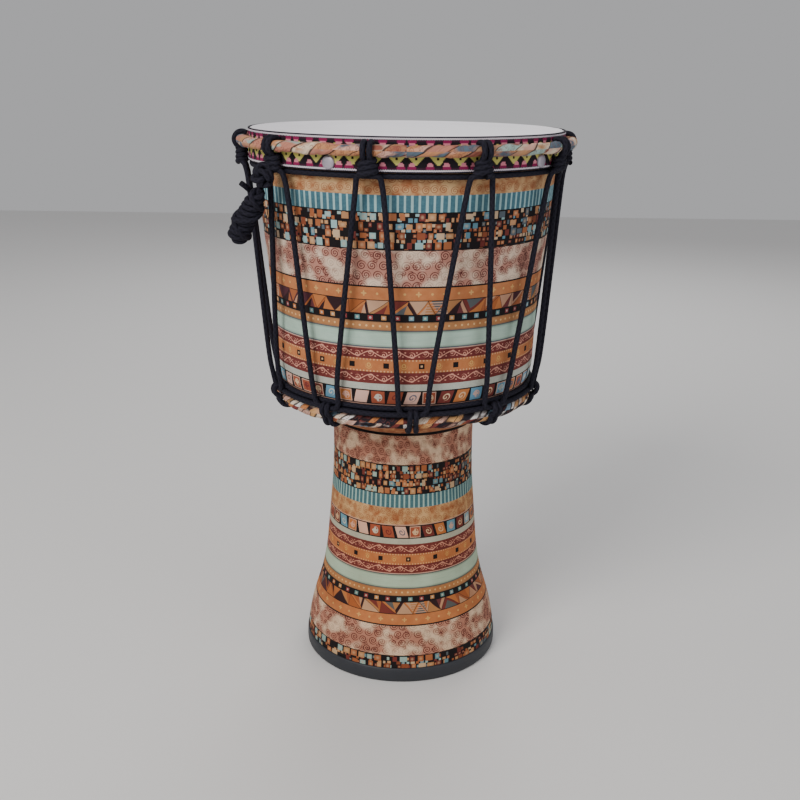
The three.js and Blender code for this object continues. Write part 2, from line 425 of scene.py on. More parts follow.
def print_vine(u, t, height):
    """A pink vine with curls and leaves on maroon."""
    ground = mix(noise(u, t, 0.4, 2, 7.0), tint(104, 44, 46), tint(136, 66, 62))
    middle = t - height / 2
    stem = abs(middle - wave(u, 21, height * 0.24)) < 0.42
    column, x = cell(u, 10.5)
    up = column.math("PINGPONG", 1.0) * 2 - 1
    curl = spiral(x - 0.6, (middle + up * (height * 0.1)) * up, 1.9, 2.7, 0.66)
    leaf = radius_of(abs(x) - 4.4, (middle - up * (height * 0.2)) * 1.7) < 0.75
    lines = stem.math("MAXIMUM", curl).math("MAXIMUM", leaf)
    return mix(lines, ground, tint(232, 172, 154))


def print_orange_squares(u, t, height):
    """Black squares and spirals on orange, between rows of beads."""
    washed = noise(u, t, 0.18, 3, 9.0)
    ground = mix(washed, tint(188, 110, 66), tint(218, 150, 98))
    _, y = cell(t, height)
    column, x = cell(u, 27)
    square = (abs(x) < 2.2) * (abs(y) < 2.1)
    open_middle = (abs(x) < 0.8) * (abs(y) < 0.8) * (chance(column, column, 65.0) < 0.6)
    ring = spiral(abs(x) - 13.5, y, 1.7, 2.7, 0.8)
    ground = mix(square, ground, BLACK)
    ground = mix(open_middle, ground, tint(226, 190, 150))
    ground = mix(ring, ground, tint(230, 186, 112))
    edge = abs(y) - height * 0.44
    _, bead = cell(u, 2.7)
    return mix(radius_of(bead, edge) < 0.62, ground, tint(236, 192, 150))


def print_tiles(u, t, height):
    """Coloured tiles on black, each with a spiral or a flower."""
    _, y = cell(t, height)
    column, x = cell(u, 13.4)
    luck = chance(column, column, 71.0)
    x = x + y * (luck > 0.6) * (luck - 0.3) * 0.5
    colours = [
        tint(128, 184, 216), MAROON, PINK, ORANGE, tint(112, 172, 208), tint(168, 206, 196),
        tint(134, 190, 214), tint(170, 90, 66),
    ]
    fill = pick(chance(column, column, 73.0), colours)
    inks = [PINK, tint(120, 48, 50), CREAM, tint(52, 92, 122), tint(226, 232, 226)]
    ink = pick(chance(column, column, 77.0), inks)
    motif = spiral(x, y, 2.6, 3.4, 1.1).math("MAXIMUM", rosette(x, y, 2.8) * (luck < 0.5))
    tile = (abs(x) < 5.3) * (abs(y) < height * 0.42)
    border = (abs(x) > 4.6).math("MAXIMUM", abs(y) > height * 0.36) * (luck < 0.4)
    painted = mix(motif * 0.85, fill, ink)
    painted = mix(border, painted, tint(226, 188, 170))
    return mix(tile, BLACK, painted)


def plain(colour):
    """A band of one slightly worn colour."""
    def draw(u, t, height):
        return mix(noise(u, t, 0.8, 2, 3.0) * 0.3, colour, BLACK)
    return draw


PRINT = [
    (15.7, print_swirls),
    (12.1, print_stripes),
    (27.1, print_mosaic),
    (0.8, plain(BLACK)),
    (26.9, print_spirals),
    (1.2, plain(BLACK)),
    (9.4, print_stars),
    (0.6, plain(BLACK)),
    (10.2, print_triangles),
    (6.2, print_squares_on_black),
    (6.5, print_tan_dots),
    (0.8, plain(SLATE)),
    (12.0, print_mint),
    (0.9, plain(SLATE)),
    (0.8, plain(PINK)),
    (8.0, print_vine),
    (10.2, print_orange_squares),
    (9.2, print_vine),
    (5.2, plain(tint(212, 222, 214))),
    (12.4, print_tiles),
    (0.8, plain(PINK)),
]
REPEAT = sum(height for height, draw in PRINT)


def printed(u, t):
    """The cloth's colour at u round and t along, both in millimetres."""
    t = (t / REPEAT).math("FRACT") * REPEAT
    colour = BLACK
    start = 0.0
    for height, draw in PRINT:
        here = t.within(start, start + height)
        colour = mix(here, colour, draw(u, t - start, height))
        start += height
    return colour


# ---------------------------------------------------------------- materials

def blank(name, roughness, metallic=0.0):
    """A new material with its node tree and its shader."""
    material = bpy.data.materials.new(name)
    material.use_nodes = True
    tree = material.node_tree
    shader = tree.nodes["Principled BSDF"]
    shader.inputs["Roughness"].default_value = roughness
    shader.inputs["Metallic"].default_value = metallic
    return material, tree, shader


def uv_millimetres(tree):
    """A piece's own UV, in millimetres."""
    uv = tree.nodes.new("ShaderNodeUVMap")
    uv.uv_map = "cloth"
    split = tree.nodes.new("ShaderNodeSeparateXYZ")
    tree.links.new(uv.outputs[0], split.inputs[0])
    return Field(tree, split.outputs[0]) * 1000, Field(tree, split.outputs[1]) * 1000


def object_millimetres(tree):
    """The place on a piece, in millimetres."""
    coordinates = tree.nodes.new("ShaderNodeTexCoord")
    split = tree.nodes.new("ShaderNodeSeparateXYZ")
    tree.links.new(coordinates.outputs["Object"], split.inputs[0])
    return [Field(tree, split.outputs[i]) * 1000 for i in range(3)]


def bump(tree, shader, height, strength, distance=0.0003):
    node = tree.nodes.new("ShaderNodeBump")
    node.inputs["Strength"].default_value = strength
    node.inputs["Distance"].default_value = distance
    feed(tree, node.inputs["Height"], height)
    tree.links.new(node.outputs[0], shader.inputs["Normal"])


def weave(u, v, pitch):
    """The height of crossed threads, from 0 to 1."""
    over = wave(u, pitch) * wave(v, pitch)
    return over * 0.5 + 0.5


def cloth_material(name, place, hue, end=None):
    """Printed cotton, in a hue. place turns the piece's u and v into the print's u and t.

    Past the end the cloth is the plain swirled part of its repeat.
    """
    material, tree, shader = blank(name, 0.85)
    shader.inputs["Specular IOR Level"].default_value = 0.25
    u, v = uv_millimetres(tree)
    colour = printed(*place(u, v))
    if end is not None:
        swirls = mix(0.6, print_swirls(u, v, PRINT[0][0]), tint(190, 120, 70), "MULTIPLY")
        colour = mix(v > end, colour, swirls)
    worn = noise(u, v, 0.035, 3, 2.0)
    colour = mix((worn - 0.4) * 0.8, colour, tint(122, 84, 62), "MULTIPLY")
    colour = mix(1.0, colour, hue, "MULTIPLY")
    threads = weave(u, v, THREAD)
    colour = mix(threads * 0.2, colour, tint(40, 30, 28), "MULTIPLY")
    feed(tree, shader.inputs["Base Color"], colour)
    bump(tree, shader, threads + noise(u, v, 0.08, 3) * 3, 0.35)
    return material


CROWN_SCRAPS = [
    tint(190, 128, 108), tint(160, 188, 180), tint(196, 146, 104), tint(214, 168, 150), SLATE,
    tint(198, 138, 98), tint(226, 206, 180), tint(150, 88, 72), tint(186, 140, 112),
]
LOWER_SCRAPS = [
    tint(30, 24, 30), tint(226, 206, 186), tint(196, 126, 78), tint(232, 226, 222), MAROON,
    tint(40, 34, 44), tint(138, 164, 184), TAN, tint(206, 164, 146), tint(34, 28, 36),
]


def twisted_cloth_material(name, patch, lay, colours, seed):
    """Scraps of the same cotton, twisted: slanting patches of plain colour, with painted crease shade
    darkening some of their edges.
    """
    material, tree, shader = blank(name, 0.85)
    shader.inputs["Specular IOR Level"].default_value = 0.25
    u, v = uv_millimetres(tree)
    bend = noise(u, v, 0.06, 2, seed) * 10
    helix = v - u * lay + bend
    number, x = cell(helix, patch)
    first = pick(chance(number, 0.0, seed), colours)
    second = pick(chance(number, 0.0, seed + 7), colours)
    colour = mix((noise(u, v * 0.4, 0.13, 2, seed + 2) - 0.45) * 8, first, second)
    _, curl_x = cell(u * 0.6 + v * 0.8, 5.6)
    _, curl_y = cell(v - u * 0.5, 5.6)
    curls = spiral(curl_x, curl_y, 1.5, 2.4, 0.5) * (chance(number, 0.0, seed + 3) < 0.5)
    colour = mix(curls * 0.6, colour, tint(120, 60, 52))
    # Painted shade: some patch edges are darkened towards black to stand for the shadow in the creases
    # between folds.
    painted_crease_shade = abs(x) > patch / 2 - 1.1
    colour = mix(painted_crease_shade * (chance(number, 0.0, seed + 9) < 0.5) * 0.85, colour, BLACK)
    streaks = noise(helix, u * 0.1, 0.7, 3, 1.0)
    colour = mix((streaks - 0.4) * 0.9, colour, tint(90, 62, 56), "MULTIPLY")
    feed(tree, shader.inputs["Base Color"], colour)
    bump(tree, shader, weave(u, v, THREAD) + streaks * 4, 0.5)
    return material


def ribbon_material():
    """Woven ribbon: stepped yellow bowls and pink feet on black, between zigzag edges."""
    material, tree, shader = blank("ribbon_weave", 0.8)
    shader.inputs["Specular IOR Level"].default_value = 0.25
    u, v = uv_millimetres(tree)
    step = 0.85
    repeat = 44.7
    middle = 12.5
    column = (u / step).math("FLOOR")
    x = ((column + 0.5) * step / repeat).math("FRACT") * repeat
    x = x.math("MINIMUM", x * -1 + repeat)
    y = abs(v - middle) * 0.96
    row = (y / step).math("FLOOR") * step + step / 2
    colour = mix(row > 8.1, tint(26, 18, 27), tint(58, 16, 42))
    bowl_side = abs(x - 6.6).math("MINIMUM", abs(x - 22.35))
    bowl = ((bowl_side + row * 0.95) < 7.2) * (row < 6.6)
    colour = mix(bowl, colour, tint(214, 206, 112))
    colour = mix((bowl_side < 0.9) * row.within(1.6, 3.4), colour, BLACK)
    colour = mix((x + abs(row - 4.2)) < 3.4, colour, BLACK)
    foot_side = abs(x - 3.9).math("MINIMUM", abs(x - 16.5))
    foot = ((foot_side + (row * -1 + 8) * 0.5) < 2.8) * row.within(5.4, 8.0)
    colour = mix(foot, colour, tint(226, 138, 154))
    colour = mix((foot_side < 3.1) * row.within(8.0, 9.8), colour, tint(142, 26, 80))
    tooth = abs((u / 1.7).math("FRACT") - 0.5) * 2
    zigzag = (y - tooth * 0.7).within(9.6, 10.6)
    edge = mix(zigzag, tint(24, 20, 34), tint(232, 222, 232))
    colour = mix(y > 9.6, colour, edge)
    threads = weave(u, v, step)
    colour = mix(threads * 0.3, colour, BLACK)
    feed(tree, shader.inputs["Base Color"], colour)
    bump(tree, shader, threads, 0.6)
    return material


def rope_material():
    """Braided synthetic cord: two families of strands that cross, with painted highlight on the strand
    crowns and painted shade between them.
    """
    material, tree, shader = blank("rope_braid", 0.78)
    u, v = uv_millimetres(tree)
    turn = u / 1000
    one = ((v / BRAID_PITCH + turn * BRAID_STRANDS).math("FRACT") - 0.5) * 2
    two = ((v / BRAID_PITCH - turn * BRAID_STRANDS).math("FRACT") - 0.5) * 2
    strands = (abs(one) * abs(two)).flip()
    fibre = noise(turn * 60 + v * 4, v * 0.6, 1.0, 3)
    # Painted highlight and shade: the braid is lighter on its strand crowns and darker in the hollows
    # between them.
    colour = mix(strands, tint(4, 4, 8), tint(30, 29, 40))
    colour = mix(fibre * 0.2, colour, tint(44, 42, 57))
    feed(tree, shader.inputs["Base Color"], colour)
    shader.inputs["Specular IOR Level"].default_value = 0.16
    bump(tree, shader, strands + fibre * 0.25, 0.8, 0.0004)
    return material


def head_material():
    """Milky film, faintly mottled, with a ring worn by hands."""
    material, tree, shader = blank("head_film", 0.42)
    x, y, _ = object_millimetres(tree)
    mottled = noise(x, y, 0.02, 4)
    grain = noise(x, y, 1.5, 3)
    colour = mix(mottled, tint(222, 217, 224), tint(236, 232, 238))
    hands = radius_of(x, y) + mottled * 40
    worn = hands.within(84, 112)
    colour = mix(worn * 0.1, colour, tint(205, 198, 200))
    feed(tree, shader.inputs["Base Color"], colour)
    feed(tree, shader.inputs["Roughness"], grain * 0.2 + 0.34)
    bump(tree, shader, grain, 0.12, 0.0002)
    return material


def speckled(name, dark, light, roughness, metallic=0.0, scale=0.6, depth=0.2):
    """A finish that varies between two tints, in fine grain and in broad clouds."""
    material, tree, shader = blank(name, roughness, metallic)
    x, y, z = object_millimetres(tree)
    fine = noise(x, y, scale, 4, z)
    broad = noise(x, y, scale * 0.06, 3, z)
    feed(tree, shader.inputs["Base Color"], mix(fine * 0.5 + broad * 0.5, dark, light))
    feed(tree, shader.inputs["Roughness"], fine * 0.2 + (roughness - 0.1))
    bump(tree, shader, fine, depth)
    return material


def floor_material():
    material, _, shader = blank("studio_floor", 0.7)
    shader.inputs["Base Color"].default_value = (0.74, 0.73, 0.72, 1)
    return material


# ---------------------------------------------------------------- mesh helpers

def mesh_object(name, points, faces, uvs=None):
    mesh = bpy.data.meshes.new(name)
    mesh.from_pydata(points, [], faces)
    if uvs is not None:
        layer = mesh.uv_layers.new(name="cloth")
        flat = [value for face in uvs for corner in face for value in corner]
        layer.data.foreach_set("uv", flat)
    mesh.polygons.foreach_set("use_smooth", [True] * len(mesh.polygons))
    mesh.validate()
    piece = bpy.data.objects.new(name, mesh)
    bpy.context.collection.objects.link(piece)
    return piece


def grid(name, rows, columns, place, coordinate, wrap_rows=False):
    """A surface that closes round its columns; coordinate gives the UV of a row and column."""
    points = [place(i, j) for i in range(rows) for j in range(columns)]
    faces = []
    uvs = []
    for i in range(rows if wrap_rows else rows - 1):
        for j in range(columns):
            corners = [(i, j), (i, j + 1), (i + 1, j + 1), (i + 1, j)]
            faces.append([(a % rows) * columns + b % columns for a, b in corners])
            uvs.append([coordinate(a, b) for a, b in corners])
    return mesh_object(name, points, faces, uvs)


def smooth(points, step):
    """Points along a centripetal curve through the given ones, about step apart."""
    points = [Vector(p) for p in points]
    padded = [points[0] * 2 - points[1]] + points + [points[-1] * 2 - points[-2]]
    found = []
    for a, b, c, d in zip(padded, padded[1:], padded[2:], padded[3:]):
        count = max(1, round((c - b).length / step))
        knots = [0.0]
        for p, q in ((a, b), (b, c), (c, d)):
            knots.append(knots[-1] + max((q - p).length, 1e-6) ** 0.5)
        for i in range(count):
            k = knots[1] + (knots[2] - knots[1]) * i / count
            a1 = a.lerp(b, k / knots[1])
            a2 = b.lerp(c, (k - knots[1]) / (knots[2] - knots[1]))
            a3 = c.lerp(d, (k - knots[2]) / (knots[3] - knots[2]))
            b1 = a1.lerp(a2, k / knots[2])
            b2 = a2.lerp(a3, (k - knots[1]) / (knots[3] - knots[1]))
            found.append(b1.lerp(b2, (k - knots[1]) / (knots[2] - knots[1])))
    found.append(points[-1])
    return found


def arc_lengths(outline):
    """How far along an outline each of its points is."""
    lengths = [0.0]
    for (r, z), (r2, z2) in zip(outline, outline[1:]):
        lengths.append(lengths[-1] + math.hypot(r2 - r, z2 - z))
    return lengths


def around(angle, radius, height):
    """A point at an angle round the drum, from millimetres."""
    turn = math.radians(angle)
    return Vector((radius * math.sin(turn), -radius * math.cos(turn), height)) * MM


def smooth_outline(outline, step):
    return [(p.x, p.y) for p in smooth([(r, z, 0) for r, z in outline], step)]


def turned(name, outline, turns=192, gauge=110.0, closed=False):
    """A surface turned round the drum's axis; its UV is metres round at gauge, and along."""
    along = arc_lengths(outline)

    def place(i, j):
        r, z = outline[i]
        return around(360 * j / turns - 180, r, z)

    def coordinate(i, j):
        length = along[i] if i < len(along) else along[-1] + 1
        return (math.tau * (j / turns - 0.5) * gauge * MM, length * MM)

    return grid(name, len(outline), turns, place, coordinate, closed)


def finish(piece, material, slot, *nodes, body="drum"):
    """Gives a piece its material and its body, and hides the CAD nodes it stands for. The slot is not
    used.
    """
    piece.data.materials.append(material)
    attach(piece, body)
    if nodes:
        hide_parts(*nodes)
    return piece


def tube(name, path, radius, closed=False, sides=12):
    """A braided rope along a path in metres, with the braid's relief in its surface."""
    count = len(path)
    tangents = []
    for i in range(count):
        before = path[(i - 1) % count] if closed or i else path[0]
        after = path[(i + 1) % count] if closed or i < count - 1 else path[-1]
        tangents.append((after - before).normalized())
    side = tangents[0].orthogonal().normalized()
    frames = []
    for tangent in tangents:
        side = (side - tangent * side.dot(tangent)).normalized()
        frames.append((side.copy(), tangent.cross(side)))
    lengths = [0.0]
    for a, b in zip(path, path[1:] + path[:1]):
        lengths.append(lengths[-1] + (b - a).length)

    def place(i, j):
        angle = math.tau * j / sides
        along = lengths[i] / (BRAID_PITCH * MM)
        lobes = abs(math.cos(math.pi * (along + BRAID_STRANDS * j / sides)))
        lobes *= abs(math.cos(math.pi * (along - BRAID_STRANDS * j / sides)))
        reach = radius * (0.97 + 0.06 * lobes)
        right, up = frames[i]
        return path[i] + (right * math.cos(angle) + up * math.sin(angle)) * reach

    def coordinate(i, j):
        return (j / sides, lengths[i])

    rope = grid(name, count, sides, place, coordinate, closed)
    if not closed:
        close_ends(rope, count, sides)
    return rope


def close_ends(rope, count, sides):
    """Caps the first and last ring of an open tube."""
    mesh = bmesh.new()
    mesh.from_mesh(rope.data)
    mesh.verts.ensure_lookup_table()
    last = (count - 1) * sides
    mesh.faces.new([mesh.verts[j] for j in reversed(range(sides))])
    mesh.faces.new([mesh.verts[last + j] for j in range(sides)])
    mesh.to_mesh(rope.data)
    mesh.free()


# ---------------------------------------------------------------- the rope's surplus

def tail_axes():
    """The top of the hank, and its own directions: down, sideways and in depth."""
    top = around(TAIL["angle"], TAIL["radius"], TAIL["top"])
    tip = around(TAIL["angle"] - 12, TAIL["radius"] + 9, TAIL["top"] - 44)
    down = (tip - top).normalized()
    outward = around(TAIL["angle"] - 5, 1, 0).normalized()
    side = down.cross(outward).normalized()
    return top, down, side, side.cross(down)


def make_tail(braid):
    """The surplus runs down the middle of the hank and is wound back up round itself."""
    top, down, side, depth = tail_axes()
    rng = random.Random(4)

    def at(radius, turn, fall):
        ring = side * math.cos(turn) + depth * math.sin(turn)
        return top + ring * (radius * MM) + down * (fall * MM)

    def wind(start, turns, low, high, belly, slope):
        """Turns between two depths below the top, on a belly that narrows at both ends."""
        steps = round(turns * 14)
        for i in range(steps + 1):
            turn = start + math.tau * turns * i / steps
            fall = low + (high - low) * i / steps + slope * math.sin(turn + 0.4)
            bulge = 1.2 * math.sin(math.pi * (fall - 10) / 52) - 3.4 * max(0, 1 - fall / 14) ** 0.8
            points.append(at(belly + bulge + rng.uniform(-0.3, 0.3), turn, fall))
        return start + math.tau * turns

    points = [at(0, 0, fall) for fall in (1, 8, 18, 28, 38, 45)]
    points += [at(2.2, 0.3, 49.5), at(4.4, 1.3, 51.6), at(6, 2.4, 51)]
    turn = wind(3.3, 9.6, 49.4, 4.5, 6, 1.6)
    turn = wind(turn + 0.5, 1.4, 6, 45, 7.6, 1)
    turn = wind(turn + 0.5, 1.3, 47, 12, 7.9, 1)
    points += [at(9.2, turn + 0.5, 9), at(11.5, turn + 0.8, 7), at(14.5, turn + 0.9, 6)]
    for _ in range(2):
        middle = [(a + b * 2 + c) / 4 for a, b, c in zip(points[4:], points[5:], points[6:])]
        points = points[:5] + middle + points[-1:]
    path = smooth(points, 1.2 * MM)
    rope = tube("tail_cord", path, ROPE_RADIUS * MM)
    finish(rope, braid, "rope", "tail_hank", "tail_neck", body="rope_tail")
    length = sum((b - a).length for a, b in zip(path, path[1:]))
    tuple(top)


def knot_path(centre, axis, size, twist):
    """A trefoil, pulled tight, with its flat side square to the axis."""
    axis = axis.normalized()
    across = axis.orthogonal().normalized()
    beyond = axis.cross(across)
    count = 90
    path = []
    for i in range(count):
        k = math.tau * i / count
        reach = 2 + math.cos(3 * k)
        x, y, z = reach * math.cos(2 * k + twist), reach * math.sin(2 * k + twist), math.sin(3 * k)
        path.append(centre + (across * x + beyond * y + axis * z * 1.25) * (size * MM))
    return path


def make_tail_knot(braid):
    """The knot on the crown ring that the surplus hangs from: two tight turns, one on the other."""
    centre = around(TAIL["angle"] + 1.5, TAIL["radius"] + 0.7, TAIL["top"] + 8)
    outward = around(TAIL["angle"], 1, 0).normalized()
    front = tube("tail_hitch_front", knot_path(centre, outward, 2.7, 0.4), ROPE_RADIUS * MM, True)
    finish(front, braid, "rope", "tail_knot")
    slant = outward + around(TAIL["angle"] + 90, 1, 0).normalized() + Vector((0, 0, 0.9))
    back = tube("tail_hitch_back", knot_path(centre, slant, 2.5, 1.5), ROPE_RADIUS * MM, True)
    finish(back, braid, "rope")


# ---------------------------------------------------------------- lacing

def ring_arc(ring, offset, start, end, steps):
    """Points round a ring's own section, from one angle to another."""
    found = []
    for i in range(steps + 1):
        angle = math.radians(start + (end - start) * i / steps)
        r = ring["radius"] + offset * math.cos(angle)
        found.append((r, ring["height"] + offset * math.sin(angle)))
    return found


def strand(angle, route, sideways):
    """A strand in the plane at an angle, moved sideways by so many millimetres at each point."""
    across = around(angle + 90, 1, 0).normalized()
    return [around(angle, r, z) + across * (s * MM) for (r, z), s in zip(route, sideways)]


def make_cradle(name, angle, route, apart, braid):
    """Two strands side by side over a ring; the left one stands for the CAD loop."""
    for side, hand in ((-1, "left"), (1, "right")):
        path = smooth(strand(angle, route, [side * s for s in apart]), ROPE_STEP * MM)
        rope = tube(f"{name}_{hand}", path, ROPE_RADIUS * MM)
        finish(rope, braid, "rope", *([name] if side < 0 else []))


def make_laces(braid):
    """Ten V-shaped laces, each from one crown loop down to a lower loop and up to the next."""
    top_arc = ring_arc(CROWN, CROWN["wrap"] + ROPE_RADIUS - 0.3, 132, -40, 7)
    upper = top_arc + [(133.2, 439), (131.6, 434), (130.8, 430), (131, 427.4)]
    upper_apart = [2.4] * len(top_arc) + [2.2, 2.0, 1.8, 1.4]
    low_arc = ring_arc(LOWER, LOWER["wrap"] + ROPE_RADIUS - 0.3, 6, -128, 6)
    lower = [(110.4, 249.6), (112.4, 251.2), (114.8, 249), (114.4, 244.6)] + low_arc
    lower_apart = [1.9, 2.0, 2.2, 2.3, 2.4, 2.5, 2.6, 2.8, 3.1, 3.5, 3.8]
    for i in range(LACES):
        top = TOP_LACE_ANGLE + i * LACE_STEP
        low = top + LACE_STEP / 2 + TWIST
        number = f"{i + 1:02d}"
        make_cradle(f"top_loop_{number}", top, upper, upper_apart, braid)
        make_cradle(f"lower_loop_{number}", low, lower, lower_apart, braid)
        make_hitch(f"hitch_{number}", top, random.Random(i), braid)
        make_lace(number, top, low, braid)


def make_lace(number, top, low, braid):
    """Down from under one hitch, over the waist ropes at its lowest point, and up to the next."""
    down = [
        (top + 0.5, 131.6, 428.6), (top + 2.3, 131.6, 429), (top + 3.7, 130, 427.2),
        (top + 4.2, 128.6, 422.4), (top + 4.6, 127.6, 416), (low - 6, 115, 270),
        (low - 5.8, 113.2, 260), (low - 5.4, 111.8, 252.6), (low - 4.1, 111.2, 249.2),
    ]
    mirrored = [(2 * low - angle, r, z) for angle, r, z in reversed(down)]
    to_next = top + LACE_STEP - (2 * low - top)
    up = [(angle + to_next * (z > 300), r, z) for angle, r, z in mirrored]
    route = [around(*point) for point in down + [(low, 111.2, 248.4)] + up]
    lace = tube(f"lace_{number}", smooth(route, ROPE_STEP * MM), ROPE_RADIUS * MM)
    finish(lace, braid, "rope", f"lacing_{number}")


def make_hitch(name, angle, rng, braid):
    """Turns of rope that gather the two cradle strands just under the ring."""
    across = around(angle + 90, 1, 0).normalized()
    outward = around(angle, 1, 0).normalized()
    centre = around(angle, 131.8, 434)
    start = rng.uniform(0, math.tau)
    tilt = rng.uniform(-1.0, 1.0)
    steps, turns, tall, loose = 70, 3.1, 11, 0.25
    points = []
    for i in range(steps + 1):
        turn = start + math.tau * turns * i / steps
        lift = (0.5 - i / steps) * tall + tilt * math.cos(turn) + rng.uniform(-loose, loose)
        x = (4.6 + 1.9 * i / steps + rng.uniform(-loose, loose)) * math.cos(turn)
        y = (3.1 + 0.4 * i / steps) * math.sin(turn)
        points.append(centre + across * (x * MM) + outward * (y * MM) + Vector((0, 0, lift * MM)))
    finish(tube(name, smooth(points, ROPE_STEP * MM), ROPE_RADIUS * MM), braid, "rope")


def rope_ring(name, radius, height, braid, wobble, seed, *nodes):
    """A rope tied level round the drum, a little uneven."""
    rng = random.Random(seed)
    phases = [rng.uniform(0, math.tau) for _ in range(3)]
    count = 520
    path = []
    for i in range(count):
        turn = math.tau * i / count
        lift = wobble * sum(math.sin(turn * n + p) for n, p in zip((3, 7, 12), phases)) / 3
        path.append(around(math.degrees(turn), radius, height + lift))
    finish(tube(name, path, ROPE_RADIUS * MM, closed=True), braid, "rope", *nodes)


# ---------------------------------------------------------------- shells, cloth and head

def make_body(plastic, rubber):
    """The two mouldings, hollow from end to end, and the rubber rim at the foot."""
    wall = [(r - 1.1, z + 0.2) for r, z in BOWL_OUTLINE]
    inside = [(r - 6.1, z + 1.5) for r, z in reversed(BOWL_OUTLINE[:-1])]
    rim = [(50.6, 222), (50.6, 196.2), (54.2, 196.2), (54.2, 216.1), (60.2, 216.1)]
    bearing = [(115.8, 453), (117.2, 454.3), (118.6, 454.6), (119.9, 454), (120.6, 453)]
    outline = inside + bearing + wall + rim[::-1]
    shell = turned("bowl_moulding", outline, 144, closed=True)
    finish(shell, plastic, "shell_plastic", "bowl_shell")
    outer = [(r - 1, z) for r, z in STEM_OUTLINE]
    inner = [(r - 6, z) for r, z in reversed(STEM_OUTLINE)]
    tube_wall = [(78.6, 3.5), (83.3, 3.5)] + outer + inner
    stem = turned("stem_moulding", tube_wall[::-1], 144, closed=True)
    finish(stem, plastic, "shell_plastic", "stem_shell")
    inner_edge = FOOT_RADIUS - 9.4
    section = [
        (inner_edge, 8), (inner_edge, 1), (inner_edge + 0.8, 0.2), (inner_edge + 1.6, 0),
        (FOOT_RADIUS - 2.4, 0), (FOOT_RADIUS - 0.8, 0.3), (FOOT_RADIUS - 0.1, 1.2),
        (FOOT_RADIUS + 0.2, 4), (FOOT_RADIUS, 9), (FOOT_RADIUS - 0.2, FOOT_HEIGHT - 1),
        (FOOT_RADIUS - 0.9, FOOT_HEIGHT), (FOOT_RADIUS - 1.6, FOOT_HEIGHT - 0.2),
        (FOOT_RADIUS - 1.8, 3.2), (inner_edge + 2, 3.2), (inner_edge + 1.8, 8),
    ]
    foot = turned("foot_rim", section[::-1], 192, closed=True)
    finish(foot, rubber, "foot_rubber", "foot_ring")


def make_skins():
    """The print runs down the bowl from its swirls, and the other way up on the stem."""
    bowl = smooth_outline(BOWL_OUTLINE, CLOTH_STEP)
    along = arc_lengths(bowl)
    swirls_end = next(s for s, (r, z) in zip(along, bowl) if z < BOWL_SWIRLS_BELOW)
    lead = PRINT[0][0] - swirls_end

    def on_bowl(u, v):
        return u, v + lead

    cloth = cloth_material("bowl_print", on_bowl, tint(246, 238, 232), REPEAT - lead)
    skin = turned("bowl_cloth", bowl)
    finish(skin, cloth, "bowl_cloth", "bowl_fabric")
    area_of(bowl)
    stem = smooth_outline(STEM_OUTLINE, CLOTH_STEP)
    along = arc_lengths(stem)
    anchor = next(s for s, (r, z) in zip(along, stem) if z > STEM_ANCHOR_HEIGHT)
    mosaic_end = sum(height for height, draw in PRINT[:3])
    shrink, squeeze, turned_by = 0.94, 1.1, 7

    def on_stem(u, v):
        return u * squeeze + turned_by, (v - anchor) / shrink + mosaic_end

    cloth = cloth_material("stem_print", on_stem, tint(238, 222, 202))
    skin = turned("stem_cloth", stem, gauge=68.0)
    finish(skin, cloth, "stem_cloth", "stem_fabric")
    area_of(stem)


def area_of(outline):
    """Flat area, in square metres, of the cloth that covers an outline all the way round."""
    rows = zip(outline, outline[1:])
    return sum(math.pi * (r + r2) * math.hypot(r2 - r, z2 - z) for (r, z), (r2, z2) in rows) * MM * MM


def make_head(film):
    """A thin film over the bearing edge, whose collar turns down behind the ribbon."""
    radius, top = COLLAR_RADIUS, HEAD_TOP
    section = [(r, top - 0.1) for r in (0.05, 0.6, 2, 60, 110)]
    section += [
        (radius - 3.4, top - 0.05), (radius - 1.8, top - 0.3), (radius - 0.7, top - 0.9),
        (radius - 0.15, top - 2.2), (radius, top - 4), (radius, 446), (radius, 432.3),
    ]
    under = [
        (radius - 0.6, 432.3), (radius - 0.7, 452.6), (radius - 1.4, top - 1.5),
        (radius - 3.6, top - 0.7),
    ]
    under += [(r, top - 0.7) for r in (60, 0.6, 0.05)]
    head = turned("head_skin", (section + under)[::-1], 192, closed=True)
    finish(head, film, "head_film", "drum_head")


def make_ribbon():
    """A woven band round the collar."""
    low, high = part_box("ribbon_trim")
    bottom, top = low[2] / MM, high[2] / MM
    inner = COLLAR_RADIUS + 0.3
    section = [(inner + 0.9, bottom), (inner + 1.1, bottom + 1), (inner + 0.95, bottom + 11)]
    section += [(inner + 1.0, top - 1), (inner + 0.8, top), (inner, top), (inner, bottom)]
    ribbon = turned("ribbon_band", section[::-1], 240, gauge=RIBBON_RADIUS, closed=True)
    flip_ribbon_rows(ribbon, top)
    finish(ribbon, ribbon_material(), "ribbon", "ribbon_trim")


def flip_ribbon_rows(ribbon, top):
    """The ribbon's pattern is measured down from its top edge."""
    mesh = ribbon.data
    layer = mesh.uv_layers["cloth"].data
    for loop in mesh.loops:
        layer[loop.index].uv.y = top * MM - mesh.vertices[loop.vertex_index].co.z


